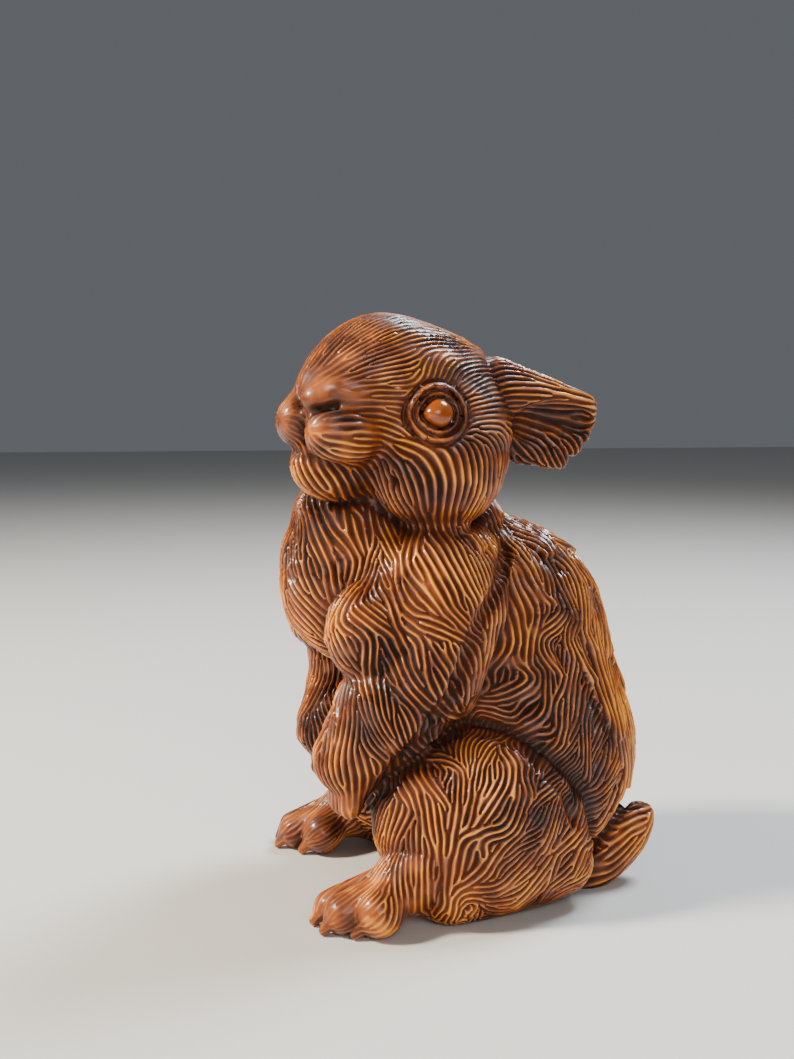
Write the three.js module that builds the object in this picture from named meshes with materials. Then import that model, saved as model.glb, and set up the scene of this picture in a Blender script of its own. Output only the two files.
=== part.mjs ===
// A seated rabbit carved from one block of boxwood, head turned to its left, paws held in front
// of the belly, ears laid back, and the fur cut as rows of overlapping locks.
// The rabbit faces -Y, its left side is +X, and it stands on its underside at z = 0.
import * as THREE from 'three';

// Driving sizes, in millimetres and degrees
const blockHeight = 100;
const headTurn = 22;
const muzzleTurn = 8;
const muzzleTilt = 15;
const muzzleLift = 0.9;
const lockWidth = 5.2;
const lockLength = 14;
const lockDepth = 1.3;
const eyeWidth = 10;
const eyeBulge = 1.4;
const mouthWidth = 1.3;
const nostrilWidth = 1.3;
const earEdge = 2.5;
const creaseWidth = 2.4;

// How finely the surface is worked: the sampling grid in hundredths of the height, and the facets
const gridStep = 1.05;
const facetCount = 9600;

// The figure's pose and proportions are written in hundredths of the block that it is cut from
const hundredth = blockHeight / 100;

// Distance to the union of two forms, with a hollow fillet where they meet
function join(a, b, fillet) {
  const near = Math.max(fillet - Math.abs(a - b), 0) / fillet;
  return Math.min(a, b) - near * near * fillet / 4;
}

// How far a value has come along a length, from 0 at its start to 1 at its end
const share = (value, length) => Math.min(Math.max(value / length, 0), 1);

// Distance to a form with a tool taken out of it, with a softened edge
const carve = (form, tool, softness) => -join(-form, tool, softness);

// A rounded mass: an ellipsoid with its three half sizes, turned by yaw, pitch and roll in degrees
function mass(centre, halves, turn = [0, 0, 0]) {
  const [yaw, pitch, roll] = turn.map(THREE.MathUtils.degToRad);
  const frame = new THREE.Matrix4().makeRotationFromEuler(new THREE.Euler(pitch, roll, yaw, 'ZXY'));
  const [ux, uy, uz, , vx, vy, vz, , wx, wy, wz] = frame.elements;
  const [cx, cy, cz] = centre;
  const [a, b, c] = halves;
  return (x, y, z) => {
    const px = x - cx;
    const py = y - cy;
    const pz = z - cz;
    const u = (px * ux + py * uy + pz * uz) / a;
    const v = (px * vx + py * vy + pz * vz) / b;
    const w = (px * wx + py * wy + pz * wz) / c;
    const level = Math.sqrt(u * u + v * v + w * w);
    const slope = Math.sqrt((u / a) ** 2 + (v / b) ** 2 + (w / c) ** 2) + 1e-9;
    return level * (level - 1) / slope;
  };
}

// A limb: a cone with a ball of its own radius at each end
function limb(start, end, startRadius, endRadius) {
  const [ax, ay, az] = start;
  const bx = end[0] - ax;
  const by = end[1] - ay;
  const bz = end[2] - az;
  const length = Math.hypot(bx, by, bz);
  const slope = (startRadius - endRadius) / length;
  const lean = Math.sqrt(1 - slope * slope);
  return (x, y, z) => {
    const px = x - ax;
    const py = y - ay;
    const pz = z - az;
    const along = (px * bx + py * by + pz * bz) / length;
    const out = Math.sqrt(Math.max(px * px + py * py + pz * pz - along * along, 0));
    const foot = along - out * slope / lean;
    if (foot <= 0) return Math.sqrt(along * along + out * out) - startRadius;
    if (foot >= length) return Math.sqrt((along - length) ** 2 + out * out) - endRadius;
    return out * lean + along * slope - startRadius;
  };
}

// A line of limbs through some points, its radius changing evenly from first to last
function strand(points, startRadius, endRadius = startRadius) {
  const radius = (i) => startRadius + (endRadius - startRadius) * i / (points.length - 1);
  const pieces = points.slice(1).map((end, i) => limb(points[i], end, radius(i), radius(i + 1)));
  return (x, y, z) => {
    let nearest = Infinity;
    for (const piece of pieces) nearest = Math.min(nearest, piece(x, y, z));
    return nearest;
  };
}

// Several masses joined one after another, each with its own fillet
function group(first, ...others) {
  return (x, y, z) => {
    let form = first(x, y, z);
    for (const [part, fillet] of others) form = join(form, part(x, y, z), fillet);
    return form;
  };
}

// Trunk: rump, back, shoulders, neck and belly, then the breast and throat with their long fur
const back = group(
  mass([0, 9.5, 24.1], [22.5, 22.6, 24.9]),
  [mass([0, 6.2, 43.8], [19, 20.3, 20.7], [0, -14, 0]), 6],
  [mass([0, -6, 54], [17, 17.5, 13]), 6],
  [mass([0.5, -9, 64], [12, 15.5, 12]), 3],
  [mass([0, -7, 30], [16, 13, 20]), 4],
);
const breast = group(
  mass([0, -17.6, 54], [13, 14.6, 14.5]),
  [mass([0, -19, 60.5], [8.5, 11.5, 9]), 4],
  [mass([2.2, -19.5, 66.5], [7.5, 10.8, 7]), 3],
);
const tail = mass([11.5, 25, 6.5], [3.4, 10, 5.2], [12, 36, 0]);

// Foreleg: shoulder, upper arm, elbow tuft, forearm and four short digits
const digits = [-1.5, -0.5, 0.5, 1.5].map((place) => {
  const knuckle = [10.4 + 1.6 * place, -23 + 0.5 * Math.abs(place), 23];
  const tip = [9.8 + 2.6 * place, -24.6 + 0.8 * Math.abs(place), 18.4];
  return [limb(knuckle, tip, 3, 1.9), 0.6];
});
const foreleg = group(
  mass([11.5, -8, 53], [9.5, 12.5, 12], [0, 14, 0]),
  [limb([12.5, -6, 50], [14, -11, 40], 9, 9.6), 4],
  [mass([12.8, -19.5, 47], [7, 7.6, 8.6]), 1.5],
  [limb([13.8, -16.2, 34.8], [10.8, -22, 26], 9.2, 6.8), 1.2],
  ...digits,
);

// Hind leg: thigh and flank on the ground, then the foot with its instep and three toes. The left
// foot's outer toe and the right foot's inner toe are the big ones.
const thigh = group(
  mass([15, -0.8, 16.5], [11.8, 19.2, 16.2]),
  [limb([19.5, -8, 6], [16.5, 12, 7], 6.4, 6.2), 4],
);
const foot = (toes) => group(
  limb([18.5, -12.5, 8.5], [19.3, -17.6, 6.2], 6.6, 4.6),
  ...toes.map(([x, y, z, radius]) => [limb([0.3 * x + 13.4, -17.6, 6.4], [x, y, z], 3.6, radius), 0.4]),
);
const leftFoot = foot([[15.8, -27.2, 2.9, 2.8], [19.8, -26.1, 3.2, 3.2], [22.6, -21, 3.9, 3.9]]);
const rightFoot = foot([[16.2, -21.6, 3.9, 3.8], [20.6, -26, 3.2, 3.1], [24.6, -25.5, 2.8, 2.7]]);

// Creases behind the foreleg and over the thigh, where the carver undercut the fur
const armCrease = strand(
  [[13.4, 3.3, 60.8], [19, 0.6, 55.7], [22, -4, 49.8], [22.6, -6.6, 43.6], [22.9, -9.4, 37.5],
    [21.9, -14, 31.1], [17.6, -18.5, 23.5]],
  creaseWidth / 2 / hundredth,
);
const thighCrease = strand(
  [[17, -19, 22], [20, -16, 27.6], [21, -11.6, 31.4], [19.6, -6.5, 32.4], [20.8, -2, 31.4],
    [22.9, 3, 28.8], [24, 7, 25.4], [24.5, 10, 21.4], [24, 12.4, 16]],
  creaseWidth / 2 / hundredth,
);

// Head, in its own frame: +x to its left, +y forward, +z up, from a centre over the neck
const headCentre = [3, -9, 80];
const skull = group(
  mass([0, -1.6, 0.5], [15.4, 15.9, 16.4]),
  [mass([0, 7.1, 6.3], [12.2, 13.2, 12.8]), 4],
  [mass([0, 13.8, 4.2], [7.5, 9.4, 9.2]), 4],
);
const cheek = mass([7, 1.4, -6], [10.2, 12, 10.8]);
const chin = mass([0, 16.5, -5.5], [6, 8.2, 6.2]);

// Muzzle and nose, in a frame that turns and tilts a little further than the head
const muzzleLobe = mass([4.5, 20.2, -0.5], [4.3, 6.3, 4.8], [20, 0, 0]);
const nose = group(
  mass([0, 20.6, 4.3], [3.3, 4.2, 2.9]),
  [mass([3.2, 16.6, 5.7], [3.8, 6.5, 2.3], [0, 8, 0]), 2],
);
const nostril = strand([[1.2, 26, 2.2], [2.8, 25, 3.4], [5.4, 22.9, 4.2]], nostrilWidth / 2 / hundredth);
const lipCleft = strand([[0, 25.8, 1.2], [0, 26.4, -0.6], [0, 25.4, -3.6]], mouthWidth / 3 / hundredth);
const mouth = strand(
  [[0, 25.2, -4.2], [4.2, 24, -5], [7.6, 20.4, -5.3], [10, 16.6, -5.6]],
  mouthWidth / 2 / hundredth,
);

// Ear: a rolled upper edge over a fan of ribs, hollowed from the outside
const earRibs = [0, 0.25, 0.5, 0.75, 1].map((t) => {
  const root = [9.6 + 0.4 * t, -11 - 1.5 * t, 5 - 8.4 * t];
  const swell = Math.sin(Math.PI * t);
  const rim = [15.6 - 1.4 * t + 0.6 * swell, -25.6 + 5.2 * t - 1.6 * swell, 3.4 - 9 * t];
  return [limb(root, rim, 2.4, earEdge / 2 / hundredth), 1.6];
});
const earBody = group(limb([8.5, -9.5, 6.8], [15.3, -24.4, 4], 5.4, 2.2), ...earRibs);
const earHollow = group(
  mass([15.9, -17.8, 0.3], [2.9, 7.4, 4.6], [22, 0, 0]),
  [mass([13, -14.6, 0.8], [2.2, 3.6, 3.2], [22, 0, 0]), 1],
  [strand([[12.6, -12.6, 0.8], [14.9, -18, 1.6], [17, -23.2, 1.4]], 1.3, 1.7), 0.6],
);

// Eye: a polished ball in a ringed socket, raised on the cheek as a function of the way out from
// the middle of the eye
const eyeCentre = new THREE.Vector3(13.9, 6.6, 2.6);
const eyeFacing = new THREE.Vector3(0.88, 0.46, 0.08).normalize();
const eyeRadius = eyeWidth / 2 / hundredth;

function eyeHeight(x, y, z) {
  const offset = new THREE.Vector3(x, y, z).sub(eyeCentre);
  const out = offset.dot(eyeFacing);
  if (Math.abs(out) > eyeRadius) return 0;
  const across = Math.sqrt(Math.max(offset.lengthSq() - out * out, 0)) / eyeRadius;
  if (across > 1.6) return 0;
  const ring = (place, width, height) => height * Math.exp(-(((across - place) / width) ** 2));
  const ball = Math.sqrt(Math.max(1 - (across / 0.46) ** 2, 0));
  const swell = 0.6 * Math.exp(-((across / 0.84) ** 4));
  const rings = ring(0.9, 0.12, 0.6) - ring(0.74, 0.08, 0.5) - ring(1.12, 0.1, 0.4);
  return (ball + swell + rings) * eyeBulge / hundredth;
}

// Fur: rows of overlapping locks. The way along a lock and the way across it are both given in
// hundredths, and alternate rows are shifted by half a lock. The fur fades out at the underside.
function fur(along, across, height) {
  const width = lockWidth / hundredth;
  const length = lockLength / hundredth;
  const swayed = across + 0.16 * width * Math.sin(2 * Math.PI * along / length);
  const row = Math.floor(swayed / width);
  const shift = (row & 1) * 0.5 + 0.17 * Math.sin(2.4 * row);
  const step = along / length + shift;
  const ramp = step - Math.floor(step);
  const side = swayed / width - row - 0.5;
  const rise = Math.min(ramp / 0.8, (1 - ramp) / 0.2);
  const lobe = 1 - (2 * side) ** 2;
  return share(height - 1, 5) * lockDepth / hundredth * (lobe * (0.35 + 0.65 * rise) - 0.6);
}

// Turns a place about a pivot in a plane, given as the two coordinates in that plane
function turnFrame(degrees, pivot = [0, 0]) {
  const sine = Math.sin(THREE.MathUtils.degToRad(degrees));
  const cosine = Math.cos(THREE.MathUtils.degToRad(degrees));
  return (a, b) => {
    const u = a - pivot[0];
    const v = b - pivot[1];
    return [u * cosine + v * sine + pivot[0], v * cosine - u * sine + pivot[1]];
  };
}

const toHead = turnFrame(headTurn);
const toMuzzle = turnFrame(-muzzleTurn, [0, 8]);
const toLips = turnFrame(-muzzleTilt);

// Distance to the head, with the face cut in and the fur where the head is furred
function head(x, y, z) {
  const [left, back] = toHead(x - headCentre[0], y - headCentre[1]);
  const forward = -back;
  const up = z - headCentre[2];
  const side = Math.abs(left);
  let form = skull(left, forward, up);
  form = join(form, cheek(side, forward, up), 3);
  form = join(form, chin(side, forward, up), 2.5);
  const polar = Math.atan2(side, up + 3);
  const brush = share(5 - up, 10);
  const along = -forward * (1 - 0.8 * brush) - 0.9 * up * brush;
  const lines = fur(along, polar * 14 * (1 - brush) + (24 - forward) * brush, z);
  const furred = form - lines * (1 - share(forward - 12, 5)) * share(forward + 9, 4);

  const [aside, ahead] = toMuzzle(left, forward);
  const [tilted, level] = toLips(aside, up - muzzleLift);
  const lip = Math.abs(tilted);
  form = join(furred, muzzleLobe(lip, ahead, level), 2);
  form = join(form, nose(lip, ahead, level), 2);
  form = carve(form, nostril(lip, ahead, level), 0.5);
  form = carve(form, lipCleft(lip, ahead, level), 0.6);
  form = carve(form, mouth(lip, ahead, level), 0.5);
  const ear = carve(earBody(side, forward, up), earHollow(side, forward, up), 0.8);
  return join(form, ear, 1.6) - eyeHeight(side, forward, up);
}

// Distance to the whole carving. The right upper arm reaches further forward than the left, and
// the right paw less far.
function carving(x, y, z) {
  const side = Math.abs(x);
  const round = Math.atan2(side, 6 - y);
  const outside = share(side - 7, 5);
  const trunk = back(x, y, z) - fur(0.55 * y - z, 19 * round + 0.5 * z, z);
  const chest = breast(x, y, z) - fur(-z, x, z);
  const reach = share(6 - x, 12) * (1.4 - 2.8 * share(z - 34, 9));
  const armFur = fur(-z - 0.3 * y, 9 * Math.atan2(side - 9, -y - 14), z);
  const arm = foreleg(side, y - reach, z) - armFur * share(z - 22, 4) * outside;
  const fan = Math.atan2(z - 1, y + 24);
  const legFur = fur(-Math.hypot(z - 1, y + 24), 26 * fan, z);
  const foot = x > 0 ? leftFoot(side, y, z) : rightFoot(side, y, z);
  const leg = join(thigh(side, y, z) - legFur * share(y + 16, 4) * outside, foot, 2);
  let form = join(trunk, chest, 5);
  form = join(form, head(x, y, z), 1);
  form = join(form, arm, 2.5);
  form = join(form, leg, 1);
  form = join(form, tail(x, y, z), 1.2);
  form = carve(form, armCrease(side, y, z), 1.2);
  form = carve(form, thighCrease(side, y, z), 1.2);
  return Math.max(form, -z);
}

// The surface is found on a grid of cubes, each cut into six tetrahedra round one diagonal, so it
// always closes. Corners of a cube are numbered with one bit for each of x, y and z.
const lowCorner = [-31, -37, -0.5 * gridStep];
const highCorner = [31, 38, 103];
const cells = lowCorner.map((low, axis) => Math.ceil((highCorner[axis] - low) / gridStep));
const tetrahedra = [[1, 3], [3, 2], [2, 6], [6, 4], [4, 5], [5, 1]].map(([a, b]) => [0, a, b, 7]);

function findSurface() {
  const [nx, ny, nz] = cells.map((count) => count + 1);
  const node = (i, j, k) => (k * ny + j) * nx + i;
  const place = (n) => [n % nx, Math.floor(n / nx) % ny, Math.floor(n / (nx * ny))]
    .map((count, axis) => lowCorner[axis] + count * gridStep);
  const values = new Float64Array(nx * ny * nz);
  const block = Math.round(5.25 / gridStep);
  const blockReach = 1.4 * block * gridStep;
  for (let k = 0; k < nz; k += block) {
    for (let j = 0; j < ny; j += block) {
      for (let i = 0; i < nx; i += block) {
        const middle = place(node(i, j, k)).map((value) => value + block * gridStep / 2);
        const guess = carving(...middle);
        for (let n = 0; n < block ** 3; n++) {
          const [a, b, c] = [i + n % block, j + Math.floor(n / block) % block,
            k + Math.floor(n / block ** 2)];
          if (a >= nx || b >= ny || c >= nz) continue;
          const index = node(a, b, c);
          const far = Math.abs(guess) > blockReach;
          values[index] = far ? guess : carving(...place(index)) || 1e-9;
        }
      }
    }
  }

  const points = [];
  const triangles = [];
  const crossings = new Map();
  const crossing = (inside, outside) => {
    const key = Math.min(inside, outside) * values.length + Math.max(inside, outside);
    if (!crossings.has(key)) {
      const near = new THREE.Vector3(...place(inside));
      const far = new THREE.Vector3(...place(outside));
      const point = new THREE.Vector3();
      let low = 0;
      let high = 1;
      let lowValue = values[inside];
      let highValue = values[outside];
      for (let step = 0; step < 5; step++) {
        const guess = step < 3 ? lowValue / (lowValue - highValue) : 0.5;
        const middle = low + (high - low) * Math.min(Math.max(guess, 0.05), 0.95);
        point.lerpVectors(near, far, middle);
        const value = carving(point.x, point.y, point.z);
        if (value < 0) [low, lowValue] = [middle, value];
        else [high, highValue] = [middle, value];
      }
      const zero = low + (high - low) * lowValue / (lowValue - highValue);
      point.lerpVectors(near, far, Math.min(Math.max(zero, 0.04), 0.96));
      if (point.z < 0.01) point.z = 0;
      crossings.set(key, points.length);
      points.push(point);
    }
    return crossings.get(key);
  };
  const normal = new THREE.Vector3();
  const addTriangle = (a, b, c, inside) => {
    const from = points[a];
    normal.crossVectors(points[b].clone().sub(from), points[c].clone().sub(from));
    const outward = normal.dot(from.clone().sub(new THREE.Vector3(...place(inside)))) > 0;
    triangles.push(outward ? [a, b, c] : [a, c, b]);
  };
  for (let k = 0; k + 1 < nz; k++) {
    for (let j = 0; j + 1 < ny; j++) {
      for (let i = 0; i + 1 < nx; i++) {
        const corners = [];
        for (let c = 0; c < 8; c++) corners.push(node(i + (c & 1), j + (c >> 1 & 1), k + (c >> 2)));
        const solid = corners.filter((n) => values[n] < 0).length;
        if (solid === 0 || solid === 8) continue;
        for (const tetrahedron of tetrahedra) {
          const inside = tetrahedron.map((c) => corners[c]).filter((n) => values[n] < 0);
          const outside = tetrahedron.map((c) => corners[c]).filter((n) => values[n] >= 0);
          if (inside.length === 0 || outside.length === 0) continue;
          if (inside.length === 2) {
            const [a, b] = inside;
            const [c, d] = outside;
            const corner = [crossing(a, c), crossing(a, d), crossing(b, d), crossing(b, c)];
            addTriangle(corner[0], corner[1], corner[2], a);
            addTriangle(corner[0], corner[2], corner[3], a);
          } else if (inside.length === 1) {
            addTriangle(...outside.map((n) => crossing(inside[0], n)), inside[0]);
          } else {
            addTriangle(...inside.map((n) => crossing(n, outside[0])), inside[0]);
          }
        }
      }
    }
  }
  return { points, triangles };
}

// The sum of squared distances to a set of planes, kept as the ten numbers of a quadric
function planeQuadric(normal, offset, weight) {
  const { x, y, z } = normal;
  return [x * x, x * y, x * z, x * offset, y * y, y * z, y * offset, z * z, z * offset,
    offset * offset].map((term) => term * weight);
}

const quadricAt = (q, p) => q[0] * p.x * p.x + 2 * q[1] * p.x * p.y + 2 * q[2] * p.x * p.z
  + 2 * q[3] * p.x + q[4] * p.y * p.y + 2 * q[5] * p.y * p.z + 2 * q[6] * p.y
  + q[7] * p.z * p.z + 2 * q[8] * p.z + q[9];

// Where two points are best replaced by one. A point of the underside stays on the underside.
function meetingPoint(q, from, to) {
  const middle = from.clone().lerp(to, 0.5);
  const grounded = from.z === 0 || to.z === 0;
  const pull = 1e-3 * (q[0] + q[4] + q[7]);
  const matrix = new THREE.Matrix3().set(q[0] + pull, q[1], q[2], q[1], q[4] + pull, q[5],
    q[2], q[5], q[7] + pull);
  const right = new THREE.Vector3(-q[3], -q[6], -q[8]).addScaledVector(middle, pull);
  const best = right.applyMatrix3(matrix.invert());
  const reach = from.distanceTo(to);
  if (!(best.distanceTo(middle) < reach)) best.copy(middle);
  best.z = grounded ? 0 : Math.max(best.z, 0);
  return best;
}

// Merges the ends of the edges that matter least, until the facets are few enough. An edge is left
// alone where merging it would pinch the surface or turn a facet over.
function thinOut({ points, triangles }, wanted) {
  const facets = points.map(() => new Set());
  const quadrics = points.map(() => new Array(10).fill(0));
  const side = new THREE.Vector3();
  const facetNormal = (a, b, c) => side.subVectors(c, a).clone().cross(side.subVectors(b, a))
    .negate();
  triangles.forEach((triangle, index) => {
    const [a, b, c] = triangle.map((corner) => points[corner]);
    const normal = facetNormal(a, b, c);
    const area = normal.length();
    normal.divideScalar(area || 1);
    const quadric = planeQuadric(normal, -normal.dot(a), area);
    for (const corner of triangle) {
      facets[corner].add(index);
      quadric.forEach((term, i) => { quadrics[corner][i] += term; });
    }
  });
  const around = (corner) => {
    const ring = new Set();
    for (const facet of facets[corner]) triangles[facet].forEach((other) => ring.add(other));
    ring.delete(corner);
    return ring;
  };
  const stamps = new Uint32Array(points.length);
  const queue = [];
  const swap = (i, j) => { [queue[i], queue[j]] = [queue[j], queue[i]]; };
  const pushEdge = (a, b) => {
    const quadric = quadrics[a].map((term, i) => term + quadrics[b][i]);
    const point = meetingPoint(quadric, points[a], points[b]);
    const cost = quadricAt(quadric, point) + 1e-5 * points[a].distanceToSquared(points[b]);
    queue.push({ cost, a, b, point, stamp: stamps[a] + stamps[b] });
    for (let i = queue.length - 1; i > 0;) {
      const parent = (i - 1) >> 1;
      if (queue[parent].cost <= queue[i].cost) break;
      swap(i, parent);
      i = parent;
    }
  };
  const popEdge = () => {
    const top = queue[0];
    const last = queue.pop();
    if (queue.length > 0) queue[0] = last;
    for (let i = 0; ;) {
      let least = i;
      for (const child of [2 * i + 1, 2 * i + 2]) {
        if (child < queue.length && queue[child].cost < queue[least].cost) least = child;
      }
      if (least === i) break;
      swap(i, least);
      i = least;
    }
    return top;
  };
  const turnsOver = (corner, other, point) => {
    for (const facet of facets[corner]) {
      const triangle = triangles[facet];
      if (triangle.includes(other)) continue;
      const before = triangle.map((n) => points[n]);
      const after = triangle.map((n) => (n === corner ? point : points[n]));
      const old = facetNormal(...before);
      const fresh = facetNormal(...after);
      if (fresh.dot(old) < 0.25 * fresh.length() * old.length()) return true;
      const longest = Math.max(...after.map((p, i) => p.distanceToSquared(after[(i + 1) % 3])));
      if (fresh.length() < 0.02 * longest) return true;
    }
    return false;
  };

  points.forEach((_, a) => around(a).forEach((b) => { if (a < b) pushEdge(a, b); }));
  let left = triangles.length;
  while (left > wanted && queue.length > 0) {
    const { a, b, point, stamp } = popEdge();
    if (stamp !== stamps[a] + stamps[b] || facets[a].size === 0 || facets[b].size === 0) continue;
    const ringA = around(a);
    const ringB = around(b);
    if (!ringA.has(b)) continue;
    const shared = [...ringA].filter((corner) => ringB.has(corner));
    if (shared.length !== 2) continue;
    if (turnsOver(a, b, point) || turnsOver(b, a, point)) continue;
    points[a].copy(point);
    quadrics[a] = quadrics[a].map((term, i) => term + quadrics[b][i]);
    for (const facet of facets[b]) {
      const triangle = triangles[facet];
      if (triangle.includes(a)) {
        triangle.forEach((corner) => facets[corner].delete(facet));
        triangles[facet] = null;
        left -= 1;
      } else {
        triangle[triangle.indexOf(b)] = a;
        facets[a].add(facet);
      }
    }
    facets[b].clear();
    stamps[a] += 1;
    stamps[b] += 1;
    for (const corner of around(a)) pushEdge(a, corner);
  }
  return { points, triangles: triangles.filter(Boolean) };
}

const { points, triangles } = thinOut(findSurface(), facetCount);
const renumbered = new Map();
const positions = [];
const indices = triangles.flat().map((corner) => {
  if (!renumbered.has(corner)) {
    renumbered.set(corner, renumbered.size);
    positions.push(...points[corner].clone().multiplyScalar(hundredth).toArray());
  }
  return renumbered.get(corner);
});
const geometry = new THREE.BufferGeometry();
geometry.setAttribute('position', new THREE.Float32BufferAttribute(positions, 3));
geometry.setIndex(indices);
geometry.computeVertexNormals();

// The origin is on the ground, under the middle of the carving's length and width
geometry.computeBoundingBox();
const middle = geometry.boundingBox.getCenter(new THREE.Vector3());
geometry.translate(-middle.x, -middle.y, 0);

const boxwood = new THREE.MeshStandardMaterial({ color: 0x8a4a22, roughness: 0.35, metalness: 0 });
const rabbit = new THREE.Mesh(geometry, boxwood);
rabbit.name = 'rabbit_carving';

const model = new THREE.Group();
model.add(rabbit);

export default model;
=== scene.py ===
import math

import bpy
import numpy as np
from mathutils import Matrix, Vector
from mathutils.kdtree import KDTree


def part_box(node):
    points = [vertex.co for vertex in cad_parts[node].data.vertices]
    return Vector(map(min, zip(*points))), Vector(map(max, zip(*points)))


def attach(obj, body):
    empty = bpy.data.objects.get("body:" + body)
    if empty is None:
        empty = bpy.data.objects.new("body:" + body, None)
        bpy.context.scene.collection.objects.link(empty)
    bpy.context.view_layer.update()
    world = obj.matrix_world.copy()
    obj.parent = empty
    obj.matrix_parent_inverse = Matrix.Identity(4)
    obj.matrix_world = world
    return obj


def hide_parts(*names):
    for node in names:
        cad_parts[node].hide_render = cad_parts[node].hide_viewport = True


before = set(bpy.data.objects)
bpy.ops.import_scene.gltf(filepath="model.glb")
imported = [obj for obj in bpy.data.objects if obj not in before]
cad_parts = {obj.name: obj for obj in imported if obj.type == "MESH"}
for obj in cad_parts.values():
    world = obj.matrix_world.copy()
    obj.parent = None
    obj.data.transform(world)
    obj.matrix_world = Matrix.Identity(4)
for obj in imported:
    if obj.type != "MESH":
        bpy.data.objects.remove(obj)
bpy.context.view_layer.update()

# The rabbit: one block of boxwood, cut to a seated figure with its head turned to its left, then
# combed all over with a fine gouge. Its form comes first, as distances to the cut surface. Places
# and sizes are in hundredths of the block's height, -Y is its front and +X its left.
CROWN = 98.9
low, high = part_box("rabbit_carving")
unit = (high[2] - low[2]) / CROWN
seed = np.random.default_rng(7)


def join(a, b, fillet):
    near = np.maximum(fillet - np.abs(a - b), 0) / fillet
    return np.minimum(a, b) - near * near * fillet / 4


def carve(form, tool, softness):
    return -join(-form, tool, softness)


def ramp(value, start, end):
    share = np.clip((value - start) / (end - start), 0, 1)
    return share * share * (3 - 2 * share)


def turned(yaw=0, pitch=0, roll=0):
    y, p, r = (math.radians(angle) for angle in (yaw, pitch, roll))
    return np.array(Matrix.Rotation(y, 3, "Z") @ Matrix.Rotation(p, 3, "X") @ Matrix.Rotation(r, 3, "Y"))


def mass(points, centre, halves, turn=None):
    offset = points - np.array(centre, float)
    if turn is not None:
        offset = offset @ turn
    offset = offset / np.array(halves, float)
    level = np.sqrt((offset ** 2).sum(-1))
    slope = np.sqrt(((offset / np.array(halves, float)) ** 2).sum(-1)) + 1e-9
    return level * (level - 1) / slope


def limb(points, start, end, start_radius, end_radius):
    start = np.array(start, float)
    axis = np.array(end, float) - start
    length = np.linalg.norm(axis)
    slope = (start_radius - end_radius) / length
    lean = math.sqrt(1 - slope * slope)
    offset = points - start
    along = offset @ (axis / length)
    out = np.sqrt(np.maximum((offset ** 2).sum(-1) - along ** 2, 0))
    foot = along - out * slope / lean
    side = out * lean + along * slope - start_radius
    side = np.where(foot <= 0, np.hypot(along, out) - start_radius, side)
    return np.where(foot >= length, np.hypot(along - length, out) - end_radius, side)


def strand(points, places, start_radius, end_radius):
    radii = np.linspace(start_radius, end_radius, len(places))
    pieces = zip(places, places[1:], radii, radii[1:])
    return np.minimum.reduce([limb(points, *piece) for piece in pieces])


def mirrored(points):
    return np.concatenate([np.abs(points[..., :1]), points[..., 1:]], axis=-1)


def back_form(p):
    form = mass(p, (0, 9.5, 24.1), (22.5, 22.6, 24.9))
    form = join(form, mass(p, (0, 6.2, 43.8), (19, 20.3, 20.7), turned(pitch=-14)), 6)
    form = join(form, mass(p, (0, -6, 54), (17, 17.5, 13)), 6)
    form = join(form, mass(p, (0.5, -9, 64), (12, 15.5, 12)), 3)
    return join(form, mass(p, (0, -7, 30), (16, 13, 20)), 4)


def breast_form(p):
    form = join(mass(p, (0, -17.6, 54), (13, 14.6, 14.5)), mass(p, (0, -19, 60.5), (8.5, 11.5, 9)), 4)
    return join(form, mass(p, (2.2, -19.5, 66.5), (7.5, 10.8, 7)), 3)


def tail_form(p):
    return mass(p, (11.5, 25, 6.5), (3.4, 10, 5.2), turned(12, 36))


def foreleg_form(p):
    right_side = np.clip(0.5 - p[..., 0] / 12, 0, 1)
    reach = right_side * (1.4 - 2.8 * ramp(p[..., 2], 34, 43))
    p = mirrored(p) - np.stack([0 * reach, reach, 0 * reach], -1)
    form = mass(p, (11.5, -8, 53), (9.5, 12.5, 12), turned(pitch=14))
    form = join(form, limb(p, (12.5, -6, 50), (14, -11, 40), 9, 9.6), 4)
    form = join(form, mass(p, (12.8, -19.5, 47), (7, 7.6, 8.6)), 1.5)
    form = join(form, limb(p, (13.8, -16.2, 34.8), (10.8, -22, 26), 9.2, 6.8), 1.2)
    for place in (-1.5, -0.5, 0.5, 1.5):
        knuckle = (10.4 + 1.6 * place, -23 + 0.5 * abs(place), 23)
        tip = (9.8 + 2.6 * place, -24.6 + 0.8 * abs(place), 18.4)
        form = join(form, limb(p, knuckle, tip, 3, 1.9), 0.6)
    return form


INSTEP = (19.3, -17.6, 6.2)
LEFT_TOES = ((15.8, -27.2, 2.9, 2.8), (19.8, -26.1, 3.2, 3.2), (22.6, -21, 3.9, 3.9))
RIGHT_TOES = ((16.2, -21.6, 3.9, 3.8), (20.6, -26, 3.2, 3.1), (24.6, -25.5, 2.8, 2.7))


def thigh_form(p):
    p = mirrored(p)
    form = mass(p, (15, -0.8, 16.5), (11.8, 19.2, 16.2))
    return join(form, limb(p, (19.5, -8, 6), (16.5, 12, 7), 6.4, 6.2), 4)


def foot_form(p):
    feet = []
    for side, toes in ((1, LEFT_TOES), (-1, RIGHT_TOES)):
        s = p * np.array([side, 1, 1])
        foot = limb(s, (18.5, -12.5, 8.5), INSTEP, 6.6, 4.6)
        for x, y, z, radius in toes:
            foot = join(foot, limb(s, (0.3 * x + 13.4, -17.6, 6.4), (x, y, z), 3.6, radius), 0.4)
            claw = limb(s, (x, y - 0.5 * radius, 2.7), (1.01 * x, y - 1.02 * radius, 0.9), 1.5, 0.8)
            foot = join(foot, claw, 0.3)
        feet.append(foot)
    return np.minimum(*feet)


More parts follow.
